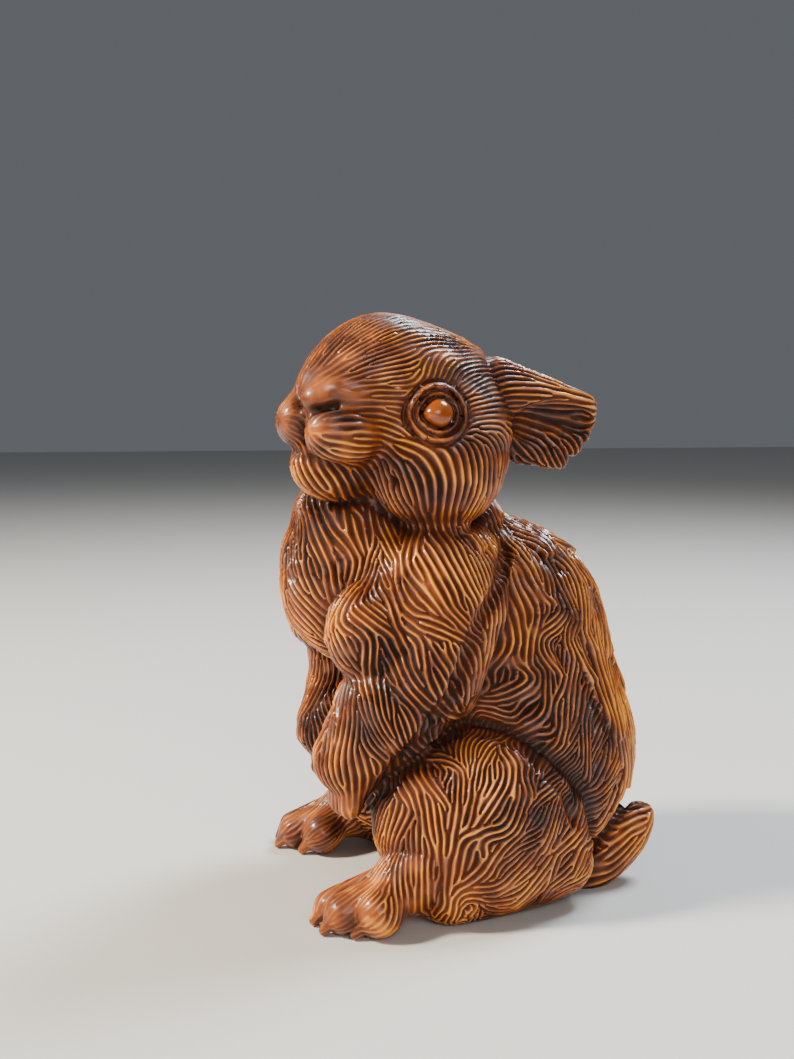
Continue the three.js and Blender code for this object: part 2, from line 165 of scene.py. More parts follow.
# The head is cut in its own frame: to its left, forward and up from a centre over the neck.
HEAD_CENTRE = np.array([3, -9, 80.0])
HEAD_AXES = turned(22) * np.array([1, -1, 1])
MUZZLE_PIVOT = np.array([0, 8, 0])
MUZZLE_LIFT = np.array([0, 0, 0.9])
MUZZLE_TURN = turned(yaw=-8)
MUZZLE_TILT = turned(roll=15)


def in_head(p):
    return (p - HEAD_CENTRE) @ HEAD_AXES


def in_muzzle(q):
    return ((q - MUZZLE_PIVOT) @ MUZZLE_TURN + MUZZLE_PIVOT - MUZZLE_LIFT) @ MUZZLE_TILT


def skull_form(q):
    form = mass(q, (0, -1.6, 0.5), (15.4, 15.9, 16.4))
    form = join(form, mass(q, (0, 7.1, 6.3), (12.2, 13.2, 12.8)), 4)
    form = join(form, mass(q, (0, 13.8, 4.2), (7.5, 9.4, 9.2)), 4)
    side = mirrored(q)
    form = join(form, mass(side, (7, 1.4, -6), (10.2, 12, 10.8)), 3)
    return join(form, mass(side, (0, 16.5, -5.5), (6, 8.2, 6.2)), 2.5)


def muzzle_form(q):
    return mass(mirrored(in_muzzle(q)), (4.5, 20.2, -0.5), (4.3, 6.3, 4.8), turned(20))


def nose_form(q):
    lip = mirrored(in_muzzle(q))
    form = mass(lip, (0, 20.9, 4), (3.5, 4.4, 3.1))
    return join(form, mass(lip, (3.2, 16.6, 5.7), (3.8, 6.5, 2.3), turned(pitch=8)), 2)


def ear_form(q):
    side = mirrored(q)
    form = limb(side, (8.5, -9.5, 6.8), (15.3, -24.4, 4), 5.4, 2.2)
    for t in (0, 0.25, 0.5, 0.75, 1):
        swell = math.sin(math.pi * t)
        root = (9.6 + 0.4 * t, -11 - 1.5 * t, 5 - 8.4 * t)
        rim = (15.6 - 1.4 * t + 0.6 * swell, -25.6 + 5.2 * t - 1.6 * swell, 3.4 - 9 * t)
        form = join(form, limb(side, root, rim, 2.4, 1.25), 1.6)
    hollow = mass(side, (15.9, -17.8, 0.3), (2.9, 7.4, 4.6), turned(22))
    hollow = join(hollow, mass(side, (13, -14.6, 0.8), (2.2, 3.6, 3.2), turned(22)), 1)
    form = carve(form, hollow, 0.8)
    under_roll = ((12.6, -12.6, 0.8), (14.9, -18, 1.6), (17, -23.2, 1.4))
    return carve(form, strand(side, under_roll, 1.3, 1.7), 0.6)


EYE_CENTRE = np.array([13.9, 6.6, 2.6])
EYE_FACING = np.array([0.88, 0.46, 0.08]) / np.linalg.norm([0.88, 0.46, 0.08])
EYE_RADIUS = 4.8


def eye_place(q):
    offset = mirrored(q) - EYE_CENTRE
    out = offset @ EYE_FACING
    rest = offset - out[..., None] * EYE_FACING
    upward = np.array([0, 0, 1]) - EYE_FACING[2] * EYE_FACING
    upward /= np.linalg.norm(upward)
    forward, up = rest @ np.cross(upward, EYE_FACING), rest @ upward
    corner = 0.1 * np.exp(-((np.arctan2(up, forward) + 0.1) / 0.45) ** 2)
    return out, np.hypot(forward, up) / EYE_RADIUS - corner


def eye_height(q):
    out, lid = eye_place(q)

    def ring(place, width, height):
        return height * np.exp(-((lid - place) / width) ** 2)

    ball = 1.5 * np.maximum(1 - (lid / 0.47) ** 2, 0) ** 0.65
    rings = ring(0.66, 0.07, 0.25) + ring(0.92, 0.09, 0.8)
    grooves = ring(0.53, 0.07, 0.6) + ring(0.78, 0.08, 0.6) + ring(1.08, 0.07, 0.6)
    swell = 0.8 * np.exp(-((lid / 0.84) ** 4))
    return np.where(np.abs(out) < EYE_RADIUS, ball + swell + rings - grooves, 0) * (lid < 1.7)


ARM_CREASE = ((13.4, 3.3, 60.8), (19, 0.6, 55.7), (22, -4, 49.8), (22.6, -6.6, 43.6), (22.9, -9.4, 37.5),
              (21.9, -14, 31.1), (17.6, -18.5, 23.5))
THIGH_CREASE = ((17, -19, 22), (20, -16, 27.6), (21, -11.6, 31.4), (19.6, -6.5, 32.4), (20.8, -2, 31.4),
                (22.9, 3, 28.8), (24, 7, 25.4), (24.5, 10, 21.4), (24, 12.4, 16))


def rabbit_form(p):
    q = in_head(p)
    face = join(skull_form(q), muzzle_form(q), 2)
    face = join(face, nose_form(q), 2)
    face = join(face, ear_form(q), 1.6) - eye_height(q)
    form = join(back_form(p), breast_form(p), 5)
    form = join(form, face, 1)
    form = join(form, foreleg_form(p), 2.5)
    form = join(form, join(thigh_form(p), foot_form(p), 2), 1)
    form = join(form, tail_form(p), 1.2)
    form = carve(form, strand(mirrored(p), ARM_CREASE, 1.2, 1.2), 1.2)
    form = carve(form, strand(mirrored(p), THIGH_CREASE, 1.2, 1.2), 0.8)
    return np.maximum(form, -p[..., 2])


# The surface of the form: one point in each grid cell that it crosses, joined across the grid's
# edges, then split twice and set exactly on the form.
STEP = 1.0
LOW = np.array([-32.5, -38.5, -1.5])
CELLS = np.array([65, 78, 103])


def rough_surface():
    axes = [LOW[i] + STEP * np.arange(CELLS[i] + 1) for i in range(3)]
    grid = np.stack(np.meshgrid(*axes, indexing="ij"), -1)
    values = rabbit_form(grid.reshape(-1, 3)).reshape(grid.shape[:3])
    inside = values < 0
    total = np.zeros(tuple(CELLS) + (3,))
    count = np.zeros(tuple(CELLS))
    corners = [np.array(c) for c in np.ndindex(2, 2, 2)]

    def at_corner(field, corner):
        return field[tuple(slice(corner[i], corner[i] + CELLS[i]) for i in range(3))]

    for a in corners:
        for axis in range(3):
            if a[axis] == 1:
                continue
            b = a.copy()
            b[axis] = 1
            va, vb = at_corner(values, a), at_corner(values, b)
            crossed = at_corner(inside, a) != at_corner(inside, b)
            share = np.where(crossed, va / np.where(va == vb, 1, va - vb), 0)[..., None]
            point = at_corner(grid, a) * (1 - share) + at_corner(grid, b) * share
            total += np.where(crossed[..., None], point, 0)
            count += crossed
    used = count > 0
    number = np.cumsum(used.ravel()).reshape(used.shape) - 1
    vertices = total[used] / count[used][:, None]
    quads = []
    for axis in range(3):
        one, two = [i for i in range(3) if i != axis]
        step = np.eye(3, dtype=int)
        span = [slice(1, -1)] * 3
        span[axis] = slice(0, CELLS[axis])
        span_next = list(span)
        span_next[axis] = slice(1, CELLS[axis] + 1)
        here, there = inside[tuple(span)], inside[tuple(span_next)]
        places = np.argwhere(here != there) + 1 - step[axis]
        leaves = here[here != there]
        ring = [places - step[one] - step[two], places - step[two], places, places - step[one]]
        quad = np.stack([number[tuple(r.T)] for r in ring], -1)
        flip = leaves if axis != 1 else ~leaves
        quads.append(np.where(flip[:, None], quad, quad[:, ::-1]))
    return vertices, np.concatenate(quads)


def new_mesh(name, vertices, faces):
    mesh = bpy.data.meshes.new(name)
    mesh.from_pydata(vertices.tolist(), [], faces.tolist())
    mesh.update()
    piece = bpy.data.objects.new(name, mesh)
    bpy.context.scene.collection.objects.link(piece)
    return piece


def apply_modifiers(piece):
    graph = bpy.context.evaluated_depsgraph_get()
    mesh = bpy.data.meshes.new_from_object(piece.evaluated_get(graph))
    piece.modifiers.clear()
    piece.data = mesh


def points_of(mesh):
    values = np.empty(len(mesh.vertices) * 3, np.float32)
    mesh.vertices.foreach_get("co", values)
    return values.reshape(-1, 3).astype(float)


def slope_of(form, points):
    reach = 0.05
    steps = reach * np.eye(3)
    return np.stack([(form(points + step) - form(points - step)) / (2 * reach) for step in steps], -1)


def set_on_form(points, form, rounds=2):
    for _ in range(rounds):
        slope = slope_of(form, points)
        size = np.maximum((slope ** 2).sum(-1), 0.2)
        points = points - (form(points) / size)[:, None] * slope
    return points


def split(points, quads):
    ends = np.sort(np.stack([quads, np.roll(quads, -1, axis=1)], -1).reshape(-1, 2), axis=1)
    keys, where = np.unique(ends[:, 0] * len(points) + ends[:, 1], return_inverse=True)
    a, b = keys // len(points), keys % len(points)
    own = np.arange(len(points))
    parents = np.concatenate([np.stack([own] * 4, -1), np.stack([a, a, b, b], -1), quads])
    sides = len(points) + where.reshape(-1, 4)
    middle = len(points) + len(keys) + np.arange(len(quads))
    finer = [np.stack([quads[:, i], sides[:, i], middle, sides[:, i - 1]], -1) for i in range(4)]
    return points[parents].mean(1), np.concatenate(finer), parents


def edges_of(points, quads):
    ends = np.sort(np.stack([quads, np.roll(quads, -1, axis=1)], -1).reshape(-1, 2), axis=1)
    keys = np.unique(ends[:, 0] * len(points) + ends[:, 1])
    return keys // len(points), keys % len(points)


def unit_length(vectors):
    return vectors / np.maximum(np.linalg.norm(vectors, axis=-1, keepdims=True), 1e-9)


def gather(index, vectors, size):
    columns = [np.bincount(index, vectors[:, i], size) for i in range(vectors.shape[1])]
    return np.stack(columns, -1)


def normals_of(points, quads):
    a, b, c, d = (points[quads[:, i]] for i in range(4))
    facing = np.cross(c - a, d - b)
    return unit_length(sum(gather(quads[:, i], facing, len(points)) for i in range(4)))


def wander(points, size):
    turns = 6
    total = 0
    for _ in range(turns):
        way = unit_length(seed.normal(size=3))
        total = total + np.sin(points @ way * 2 * math.pi / size + seed.uniform(0, 2 * math.pi))
    return total / math.sqrt(turns / 2)


# The fur's lie. Every part of the body has its own flow of strokes, their spacing, their depth and
# the depth of the pointed locks that they gather in; near a joint the parts' flows run together.
def blend(first, second, share):
    return first * (1 - share[:, None]) + second * share[:, None]


def lie_of_fur(p):
    s = mirrored(p)
    x, y, z = s.T
    q = in_head(p)
    h = mirrored(q)
    side, front, up = h.T

    def full(*vector):
        return np.broadcast_to(unit_length(np.array(vector, float)), p.shape)

    trunk = blend(full(0.15, 0.3, -1), full(0.1, -0.15, -1), ramp(z, 62, 48))
    trunk = blend(trunk, full(0.05, -0.7, -0.8), ramp(z, 52, 36) * ramp(y, 28, 14))
    trunk = blend(trunk, full(0.1, -0.6, -0.7), ramp(z, 30, 18))
    trunk = blend(trunk, full(0.1, 0.5, -1), ramp(z, 56, 64) * ramp(y, 4, -4))
    chest = unit_length(np.stack([0.04 * x, 0.1 + 0 * x, -1 + 0 * x], -1))
    tuft = unit_length(s - np.array([9, -24, 60]))
    arm = blend(tuft, full(0.1, 0.35, -0.9), ramp(y, -21, -15))
    arm = blend(arm, full(0.05, 0.3, -1), ramp(z, 43, 36))
    arm = blend(arm, full(0.1, 0.8, -0.7), ramp(z, 43, 36) * ramp(y + 0.55 * (36 - z), -21, -25))
    thigh = unit_length(np.array([23, -12, 0]) - s)
    thigh = blend(thigh, full(0.1, -0.2, -1), 0.7 * ramp(z, 14, 26))
    foot = blend(full(0.1, -0.9, -0.45), full(0.3, -0.1, -1), ramp(y, -24, -18) * ramp(x, 19, 23))
    tail = full(0.2, 0.8, 0.55)

    from_eye = h - EYE_CENTRE
    brow = np.exp(-(np.linalg.norm(from_eye, axis=-1) / 9.5) ** 4)
    brow = brow * ramp(up, 3.5, 6.5) * ramp(front, 12, 7)
    behind = ramp(front, 2, -3) * ramp(up, -1, 3)
    skull = blend(full(0, -1, 0), full(0, -0.22, -1), ramp(up, 1, -5) * ramp(front, 13, 8))
    skull = blend(skull, full(0, 0.25, -1), ramp(up, 0, -5) * ramp(front, -1, -7))
    skull = blend(skull, full(0, -0.9, -0.5), ramp(up, 5, 0) * ramp(front, 9, 13))
    skull = blend(skull, full(0.1, -0.35, -1), ramp(up, -4, -7) * ramp(front, 8, 13))
    skull = blend(skull, unit_length(from_eye), np.maximum(brow, 0.5 * behind * (side > 9)))
    coarse = ramp(up, 0, -5)
    ear = unit_length(h - np.array([5, -4, 5]))
    ear = blend(ear, full(0.05, -0.3, -1), ramp(up, 0, -3) * ramp(side, 12, 14))

    def of_body(flow):
        return flow * np.where(p[:, :1] < 0, [-1, 1, 1], [1, 1, 1])

    def of_head(flow):
        return (flow * np.where(q[:, :1] < 0, [-1, 1, 1], [1, 1, 1])) @ HEAD_AXES.T

    parts = (
        (back_form(p), of_body(trunk), 1.05, 0.26, 0.9),
        (breast_form(p), of_body(chest), 1.15, 0.32, 0.7),
        (foreleg_form(p), of_body(arm), 1.1, 0.3 - 0.2 * ramp(z, 25, 21), 0.5 * ramp(z, 24, 30)),
        (thigh_form(p), of_body(thigh), 1.05, 0.27, 0.6),
        (foot_form(p), of_body(foot), 1.0, 0.07 + 0.11 * ramp(y, -23, -19) * ramp(z, 2, 5), 0),
        (tail_form(p), of_body(tail), 1.5, 0.25, 0.2),
        (skull_form(q), of_head(skull), 0.95 + 0.35 * coarse, 0.18 + 0.17 * coarse, 0.1 + 0.1 * coarse),
        (muzzle_form(q), of_head(full(0, -1, -0.15)), 1.0, 0.16 * ramp(front, 28, 22), 0),
        (nose_form(q), of_head(full(0, -1, 0.2)), 1.0, 0.1 * ramp(front, 22, 16), 0),
        (ear_form(q), of_head(ear), 1.1, 0.24, 0.1),
    )
    nearest = np.minimum.reduce([part[0] for part in parts])
    weights = [np.exp((nearest - part[0]) / 0.6) for part in parts]
    total = sum(weights)

    def mean(i):
        return sum(w * part[i] for w, part in zip(weights, parts)) / total

    flow = sum(w[:, None] * part[1] for w, part in zip(weights, parts))
    out, lid = eye_place(q)
    plain = np.where(np.abs(out) < 6, ramp(lid, 1.08, 1.25), 1)
    member = np.argmin([part[0] for part in parts], axis=0)
    region = np.array([0, 0, 1, 2, 3, 4, 5, 5, 5, 6])[member]
    pitch = mean(2) * (1 + 0.12 * wander(p, 15))
    stroke = mean(3) * plain * (1 + 0.25 * wander(p, 5))
    return flow, region, pitch, stroke, mean(4) * plain


def around(directions, normals, angle):
    across = np.cross(normals, directions)
    return directions * np.cos(angle)[:, None] + across * np.sin(angle)[:, None]


def laid_flat(flow, normals):
    return unit_length(flow - (flow * normals).sum(-1)[:, None] * normals)


def evened(flow, normals, ends):
    a, b = ends
    for _ in range(8):
        flow = laid_flat(flow, normals)
        flow = 2 * flow + gather(a, flow[b], len(flow)) + gather(b, flow[a], len(flow))
    return laid_flat(flow, normals)


def combed(points, quads):
    normals = normals_of(points, quads)
    flow, region, pitch, stroke, lock = lie_of_fur(points)
    flow = evened(flow, normals, edges_of(points, quads))
    angle = 0.2 * wander(points, 22) + 0.1 * wander(points, 12)
    angle = angle * (0.4 + 0.6 * np.minimum(lock / 0.5, 1))
    return around(flow, normals, angle), normals, region, pitch, stroke, lock


# Locks: pointed leaves scattered evenly, each rising from its root to its tip over the next one.
# Inside a lock the strokes lean its own way and draw together toward the tip.
def scatter(points, spacing):
    free = np.ones(len(points), bool)
    chosen = []
    for candidate in seed.permutation(len(points)):
        if free[candidate]:
            chosen.append(candidate)
            free &= ((points - points[candidate]) ** 2).sum(-1) > spacing ** 2
    return np.array(chosen)


def lay_locks(points, flow, normals, lock, chosen, ends):
    count = len(chosen)
    root, way, facing = points[chosen], flow[chosen], normals[chosen]
    strength = np.minimum(lock / 0.6, 1)
    lean = seed.normal(0, 0.14, count) * strength[chosen]
    way = around(way, facing, lean)
    across = np.cross(facing, way)
    length = seed.uniform(11, 18, count)
    width = seed.uniform(2.8, 4.2, count)
    order = seed.uniform(0, 0.35, count)
    curl = seed.normal(0, 0.035, count) * strength[chosen]
    height = np.full(len(points), -0.2)
    drawn = flow.copy()
    owner = np.full(len(points), -1)
    for i in range(count):
        near = np.flatnonzero(((points - root[i]) ** 2).sum(-1) < (length[i] * 1.05) ** 2)
        offset = points[near] - root[i]
        along = offset @ way[i] / length[i]
        aside = offset @ across[i] - curl[i] * (along * length[i]) ** 2
        inside = np.clip(along, 0, 1)
        half = width[i] * np.sqrt(np.minimum(inside / 0.3, 1))
        half = half * np.minimum((1 - inside) / 0.55, 1) ** 0.7
        share = aside / np.maximum(half, 0.05)
        rise = 0.15 + 0.85 * inside + order[i] - 0.55 * share ** 2
        facing_out = (normals[near] @ facing[i] > 0.3) & (np.abs(offset @ facing[i]) < 5)
        wins = (along > 0) & (along < 1) & (np.abs(share) < 1) & facing_out & (rise > height[near])
        here = near[wins]
        height[here] = rise[wins]
        owner[here] = i
        pull = -0.4 * share[wins] * half[wins] / np.maximum((1.15 - inside[wins]) * length[i], 2)
        bend = pull + 2 * curl[i] * inside[wins] * length[i]
        drawn[here] = way[i] + bend[:, None] * across[i]
    return height, evened(blend(flow, drawn, strength), normals, ends), owner


# The strokes themselves: a wave across the fur's lie, whose crests are the ridges that the gouge
# left. Its phase is passed from point to point until neighbours agree, and forks where they can't.
def passed_on(phase, points, across, pitch, weight, ends, rounds):
    a, b = ends
    way = (across[a] + across[b]) / 2
    turn = np.exp(1j * 4 * math.pi / (pitch[a] + pitch[b]) * ((points[b] - points[a]) * way).sum(-1))
    turn = turn * weight
    size = len(points)
    for _ in range(rounds):
        ahead = phase[a] * turn
        behind = phase[b] * np.conj(turn)
        real = np.bincount(b, ahead.real, size) + np.bincount(a, behind.real, size)
        imaginary = np.bincount(b, ahead.imag, size) + np.bincount(a, behind.imag, size)
        phase = phase + real + 1j * imaginary
        phase = phase / np.maximum(np.abs(phase), 1e-9)
    return phase


def carried(phase, before, points, parents):
    places, across, pitch = before
    step = ((points[:, None] - places[parents]) * across[parents]).sum(-1)
    carried_phase = (phase[parents] * np.exp(2j * math.pi * step / pitch[parents])).sum(1)
    return carried_phase / np.maximum(np.abs(carried_phase), 1e-9)


# Cuts made last, with a knife: nostrils, lips, the clefts between toes and digits, and the lines
# that part the limbs from the trunk. Each is a line of places with its half width and its depth,
# and the seams run where two parts' surfaces meet.
NOSTRIL = (((1, 25.6, 2), (2.4, 24.6, 3.1), (4.4, 22.6, 4)), 0.6, 1.8)
LIP_CLEFT = (((0, 26.6, 3), (0, 26.6, 0), (0, 25.4, -3.6)), 0.5, 1.4)
MOUTH = (
    ((0, 25.2, -4.6), (4.2, 24, -5.6), (7.6, 20.4, -6), (10, 16.6, -6.2), (11.6, 12.6, -6.6)),
    0.75,
    1.5,
)
DIGITS = tuple(
    (((10.4 + 1.6 * place, -26.2, 23.2), (9.8 + 2.7 * place, -27, 18.2)), 0.45, 1.0)
    for place in (-1, 0, 1)
)
EAR_ROLL = (((12.4, -12.4, 0.6), (14.4, -17.6, 1.3), (16.6, -22.4, 1.1)), 1.7, 1.7)


def toe_clefts(toes):
    for first, second in zip(toes, toes[1:]):
        x, y = ((a + b) / 2 for a, b in zip(first[:2], second[:2]))
        yield ((0.3 * x + 13.4, -18.6, 9.6), (x, y + 1.5, 6.4), (x, y - 2.5, 0.5)), 0.5, 1.1


def seams(p):
    q = in_head(p)
    trunk = np.minimum(back_form(p), breast_form(p))
    head = np.minimum(skull_form(q), muzzle_form(q))
    legs = thigh_form(p)
    arms = foreleg_form(p)
    pairs = (
        (head, trunk, 1.3),
        (legs, trunk, 1.3),
        (arms, trunk, 0.9 * ramp(p[:, 2], 62, 52)),
        (tail_form(p), np.minimum(trunk, legs), 1.2),
        (ear_form(q), head, 0.6),
        (arms, legs, 0.8),
        (foot_form(p), legs, 0.5 * ramp(p[:, 2], 1, 4)),
    )
    depth = np.zeros(len(p))
    for one, other, deep in pairs:
        apart = np.abs(one - other) + 0.6 * np.maximum(np.minimum(one, other), 0)
        depth = np.maximum(depth, deep * np.exp(-(apart / 0.8) ** 2))
    return depth


def knife_cuts(p):
    lip = mirrored(in_muzzle(in_head(p)))
    left = p[:, :1] > 0
    s = mirrored(p)
    cuts = [(lip, cut) for cut in (NOSTRIL, LIP_CLEFT, MOUTH)] + [(s, cut) for cut in DIGITS]
    cuts += [(np.where(left, s, 1e3), cut) for cut in toe_clefts(LEFT_TOES)]
    cuts += [(np.where(left, 1e3, s), cut) for cut in toe_clefts(RIGHT_TOES)]
    cuts += [(s, (ARM_CREASE, 0.7, 0.9)), (s, (THIGH_CREASE, 0.7, 0.9))]
    cuts += [(mirrored(in_head(p)), EAR_ROLL)]
    depth = seams(p)
    for place, (line, width, deep) in cuts:
        depth = np.maximum(depth, deep * np.exp(-(strand(place, line, 0, 0) / width) ** 2))
    return depth


COARSE_ROUNDS, FINE_ROUNDS = 220, 15
LOCK_SPACING = 4.4
LOCK_LEVEL, RIDGE_LEVEL, RIDGE_HEIGHT = 0.85, 0.6, 1.8


def carved_rabbit():
    points, quads = rough_surface()
    points, quads, _ = split(set_on_form(points, rabbit_form), quads)
    points = points - rabbit_form(points)[:, None] * normals_of(points, quads)
    flow, normals, region, pitch, stroke, lock = combed(points, quads)
    roots = scatter(points, LOCK_SPACING)
    height, flow, owner = lay_locks(points, flow, normals, lock, roots, edges_of(points, quads))
    phase = np.exp(2j * math.pi * seed.uniform(size=len(points)))
    for rounds in (COARSE_ROUNDS, FINE_ROUNDS):
        across = np.cross(normals, flow)
        a, b = ends = edges_of(points, quads)
        parted = (owner[a] != owner[b]) & (np.minimum(lock[a], lock[b]) > 0.2)
        agreement = np.where(region[a] != region[b], 0.02, np.where(parted, 0.6, 1))
        phase = passed_on(phase, points, across, pitch, agreement, ends, rounds)
        if rounds == FINE_ROUNDS:
            break
        before = points, across, pitch
        points, quads, parents = split(points, quads)
        points = points - rabbit_form(points)[:, None] * normals_of(points, quads)
        out, lid = eye_place(in_head(points))
        eye = (np.abs(out) < 5) & (lid < 1.3)
        points[eye] = set_on_form(points[eye], rabbit_form, 3)
        normals = normals_of(points, quads)
        phase = carried(phase, before, points, parents)
        owner, region = owner[parents[:, 0]], region[parents[:, 0]]
        flow = unit_length(flow[parents].mean(1))
        kept = (height, pitch, stroke, lock)
        height, pitch, stroke, lock = (value[parents].mean(1) for value in kept)
    ridge = ((1 + phase.real) / 2) ** 1.6
    cut = knife_cuts(points)
    rise = stroke * (ridge - RIDGE_LEVEL) * RIDGE_HEIGHT * (1 - 0.7 * np.minimum(cut, 1))
    rise = rise + lock * (height - LOCK_LEVEL)
    # Painted shade: the colour is darkened where the form closes in over the surface, in creases, under
    # the chin, between the limbs and inside the ear.
    shade = 0.5 * np.clip(rabbit_form(points + 2 * normals) / 2, 0, 1)
    shade = shade + 0.5 * np.clip(rabbit_form(points + 6 * normals) / 6, 0, 1)
    above_ground = ramp(points[:, 2], 0.2, 2.5)
    points = points + ((rise - cut) * above_ground)[:, None] * normals
    points[:, 2] = np.maximum(points[:, 2], 0)
    # Painted shade in the three grooves around the eye.
    rim = np.exp(-((lid - 0.53) / 0.07) ** 2) + 0.8 * np.exp(-((lid - 0.78) / 0.06) ** 2)
    rim = rim + 0.8 * np.exp(-((lid - 1.08) / 0.07) ** 2)
    shade = shade * (1 - 0.85 * np.where(np.abs(out) < 5, np.minimum(rim, 1), 0))
    polish = np.where(np.abs(out) < 5, ramp(lid, 0.5, 0.42), 0)
    # The shade value is painted shade, and it is also darkened along the knife cuts and along the seams
    # between parts.
    values = {"lock": np.clip(height, 0, 1), "stroke": stroke, "polish": polish,
              "shade": shade * (1 - 0.9 * np.minimum(cut, 1))}
    return points, quads, (phase, across, pitch), values


def set_values(mesh, name, values, domain="POINT"):
    layer = mesh.attributes.new(name, "FLOAT", domain)
    layer.data.foreach_set("value", values.astype(np.float32))


# The wave's phase is kept at every corner of a facet, unrolled from the facet's first corner, so
# that the material can draw each stroke finer than the facets are.
def mark_strokes(mesh, points, wave):
    phase, across, pitch = wave
    tree = KDTree(len(points))
    for i, place in enumerate(points):
        tree.insert(place, i)
    tree.balance()
    thinned_points = (points_of(mesh) - place_on_ground) / unit
    nearest = np.array([tree.find(place)[1] for place in thinned_points])
    parents = nearest[:, None]
    vertex_phase = carried(phase, (points, across, pitch), thinned_points, parents)
    corners = np.empty(len(mesh.loops), np.int32)
    mesh.loops.foreach_get("vertex_index", corners)
    corners = corners.reshape(-1, 3)
    angles = [np.angle(vertex_phase[corners[:, 0]])]
    for i in (1, 2):
        a, b = corners[:, 0], corners[:, i]
        way = (across[nearest[a]] + across[nearest[b]]) / 2
        spacing = (pitch[nearest[a]] + pitch[nearest[b]]) / 2
        aside = ((thinned_points[b] - thinned_points[a]) * way).sum(-1)
        guess = angles[0] + 2 * math.pi * aside / spacing
        angles.append(guess + np.angle(vertex_phase[b] * np.exp(-1j * guess)))
    set_values(mesh, "wave", np.stack(angles, -1).ravel(), "CORNER")
    return nearest


TRIANGLES = 196000
points, quads, wave, values = carved_rabbit()
middle = (points.min(0) + points.max(0)) / 2
cad_middle = (np.array(low) + np.array(high)) / 2
ground = Vector((cad_middle[0] - middle[0] * unit, cad_middle[1] - middle[1] * unit, low[2]))
place_on_ground = np.array(ground)
rabbit = new_mesh("rabbit", points * unit + place_on_ground, quads)
thinned = rabbit.modifiers.new("thin", "DECIMATE")
thinned.ratio = TRIANGLES / (2 * len(quads))
thinned.use_collapse_triangulate = True
apply_modifiers(rabbit)
nearest = mark_strokes(rabbit.data, points, wave)
for name, value in values.items():
    set_values(rabbit.data, name, value[nearest])
rabbit.data.polygons.foreach_set("use_smooth", np.ones(len(rabbit.data.polygons), bool))
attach(rabbit, "root")
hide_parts("rabbit_carving")


# Boxwood: red-brown under old lacquer, amber where the ridges are rubbed; painted shade takes it nearly
# black in the cuts and hollows.
class Socket:
    def __init__(self, tree, socket):
        self.tree = tree
        self.socket = socket

    def maths(self, operation, first, second=0.0):
        node = self.tree.nodes.new("ShaderNodeMath")
        node.operation = operation
        for slot, value in zip(node.inputs, (first, second)):
            connect(self.tree, slot, value)
        return Socket(self.tree, node.outputs[0])

    def __add__(self, other):
        return self.maths("ADD", self, other)

    def __radd__(self, other):
        return self.maths("ADD", other, self)

    def __sub__(self, other):
        return self.maths("SUBTRACT", self, other)

    def __rsub__(self, other):
        return self.maths("SUBTRACT", other, self)

    def __mul__(self, other):
        return self.maths("MULTIPLY", self, other)

    def __rmul__(self, other):
        return self.maths("MULTIPLY", other, self)

    def __pow__(self, other):
        return self.maths("POWER", self, other)

    def clamped(self):
        return self.maths("MINIMUM", self.maths("MAXIMUM", self, 0.0), 1.0)


def connect(tree, slot, value):
    if isinstance(value, Socket):
        tree.links.new(value.socket, slot)
    else:
        slot.default_value = value


def add_node(tree, kind, settings, output=0, **values):
    node = tree.nodes.new("ShaderNode" + kind)
    for name, value in settings.items():
        setattr(node, name, value)
    for name, value in values.items():
        connect(tree, node.inputs[name.replace("_", " ")], value)
    return Socket(tree, node.outputs[output])


def mix_colours(tree, share, first, second):
    node = tree.nodes.new("ShaderNodeMix")
    node.data_type = "RGBA"
    connect(tree, node.inputs[0], share)
    connect(tree, node.inputs[6], first)
    connect(tree, node.inputs[7], second)
    return Socket(tree, node.outputs[2])


def new_material(name):
    material = bpy.data.materials.new(name)
    material.use_nodes = True
    return material, material.node_tree, material.node_tree.nodes["Principled BSDF"]


boxwood, tree, surface = new_material("boxwood")
wave_angle, lock_height, stroke_depth, painted_shade_factor, polish = (
    add_node(tree, "Attribute", {"attribute_name": name}, output=2)
    for name in ("wave", "lock", "stroke", "shade", "polish")
)
where = add_node(tree, "TexCoord", {}, output=3)
patches = add_node(tree, "TexNoise", {}, Vector=where, Scale=42.0, Detail=2.0)
breaks = add_node(tree, "TexNoise", {}, Vector=where, Scale=210.0, Detail=1.0)
specks = add_node(tree, "TexNoise", {}, Vector=where, Scale=500.0, Detail=4.0)
stretched = add_node(tree, "Mapping", {}, Vector=where, Scale=(1.0, 1.0, 0.12))
grain = add_node(tree, "TexNoise", {}, Vector=stretched, Scale=900.0, Detail=3.0)
crest = wave_angle.maths("COSINE", wave_angle) * 0.5 + 0.5
furred = (stroke_depth * 5).clamped()
ridge = crest ** 1.9
height = ridge * furred + (1 - furred) * 0.7
rubbed_and_shaded = height * (breaks * 1.2 + 0.1) + lock_height * 0.34 - 0.1
rubbed_and_shaded = rubbed_and_shaded + (patches - 0.5) * 1.2 + (specks - 0.5) * 0.3
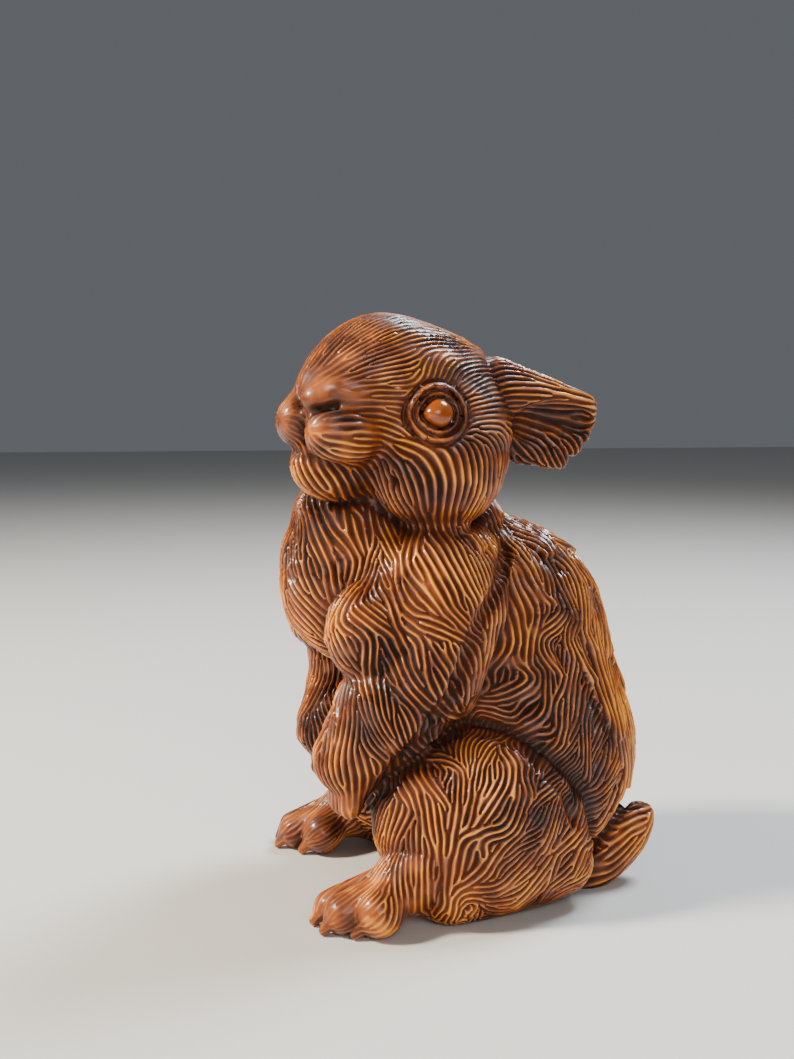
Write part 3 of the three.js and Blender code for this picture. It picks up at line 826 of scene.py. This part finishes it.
# Painted shade: the rubbed-wear value is darkened by the shade attribute, down toward the near-black
# colour.
rubbed_and_shaded = (rubbed_and_shaded * (painted_shade_factor * 0.9 + 0.1)).clamped()
wood = mix_colours(tree, (rubbed_and_shaded * 2.4).clamped(), (0.010, 0.0025, 0.001, 1), (0.13, 0.026, 0.003, 1))
wood = mix_colours(tree, ((rubbed_and_shaded - 0.34) * 2.4).clamped(), wood, (0.42, 0.10, 0.005, 1))
wood = mix_colours(tree, ((rubbed_and_shaded - 0.66) * 2.6).clamped(), wood, (0.90, 0.36, 0.025, 1))
wood = mix_colours(tree, ((grain - 0.45) * 0.8).clamped(), wood, (0.09, 0.025, 0.008, 1))
wood = mix_colours(tree, polish * 0.9, wood, (0.26, 0.05, 0.004, 1))
connect(tree, surface.inputs["Base Color"], wood)
roughness = 0.82 - height * 0.5 - polish * 0.3 + (specks - 0.5) * 0.2
connect(tree, surface.inputs["Roughness"], roughness.clamped())
connect(tree, surface.inputs["Coat Weight"], (height * painted_shade_factor * 0.7).clamped())
connect(tree, surface.inputs["Coat Roughness"], 0.18)
connect(tree, surface.inputs["Specular IOR Level"], 0.35)
relief = ridge * furred * (breaks + 0.4) + grain * 0.12 + specks * 0.1
fine = add_node(tree, "Bump", {}, Strength=0.55, Distance=0.0003, Height=relief)
connect(tree, surface.inputs["Normal"], fine)
rabbit.data.materials.clear()
rabbit.data.materials.append(boxwood)

# A plain pale floor, soft studio lights, and the camera where the photo was taken from.
bpy.ops.mesh.primitive_plane_add(size=6, location=(0, 0, low[2]))
floor = bpy.context.object
floor.name = "floor"
paint, paint_tree, paint_surface = new_material("floor paint")
paint_surface.inputs["Base Color"].default_value = (0.62, 0.61, 0.59, 1)
paint_surface.inputs["Roughness"].default_value = 0.7
floor.data.materials.append(paint)

world = bpy.data.worlds.new("studio")
bpy.context.scene.world = world
world.use_nodes = True
world.node_tree.nodes["Background"].inputs[0].default_value = (0.75, 0.8, 0.88, 1)
world.node_tree.nodes["Background"].inputs[1].default_value = 0.16

AZIMUTH = math.radians(74)
ahead = Vector((-math.sin(AZIMUTH), math.cos(AZIMUTH), 0))
right = Vector((math.cos(AZIMUTH), math.sin(AZIMUTH), 0))
up = Vector((0, 0, 1))


def studio_light(name, place, size, power, colour):
    light = bpy.data.lights.new(name, "AREA")
    light.shape = "DISK"
    light.size = size
    light.energy = power
    light.color = colour
    lamp = bpy.data.objects.new(name, light)
    bpy.context.scene.collection.objects.link(lamp)
    target = ground + 0.05 * up
    lamp.location = target + place
    lamp.rotation_euler = (-place).to_track_quat("-Z", "Y").to_euler()


studio_light("key", -0.12 * ahead - 0.5 * right + 0.4 * up, 0.12, 10, (1.0, 0.9, 0.74))
studio_light("sky", 0.22 * ahead + 0.3 * right + 0.55 * up, 0.25, 7, (0.86, 0.93, 1.0))
studio_light("fill", -0.6 * ahead + 0.1 * right + 0.3 * up, 0.4, 2, (1.0, 0.95, 0.9))

lens = bpy.data.cameras.new("camera")
camera = bpy.data.objects.new("camera", lens)
bpy.context.scene.collection.objects.link(camera)
bpy.context.scene.camera = camera
lens.sensor_fit = "VERTICAL"
lens.sensor_height = 36
lens.lens = 36 * 1200 / 1059
lens.clip_start = 0.01
camera.location = ground + unit * (-211 * ahead - 11.1 * right + 81.5 * up)
camera.rotation_euler = (math.radians(90 - 5.21), 0, AZIMUTH)
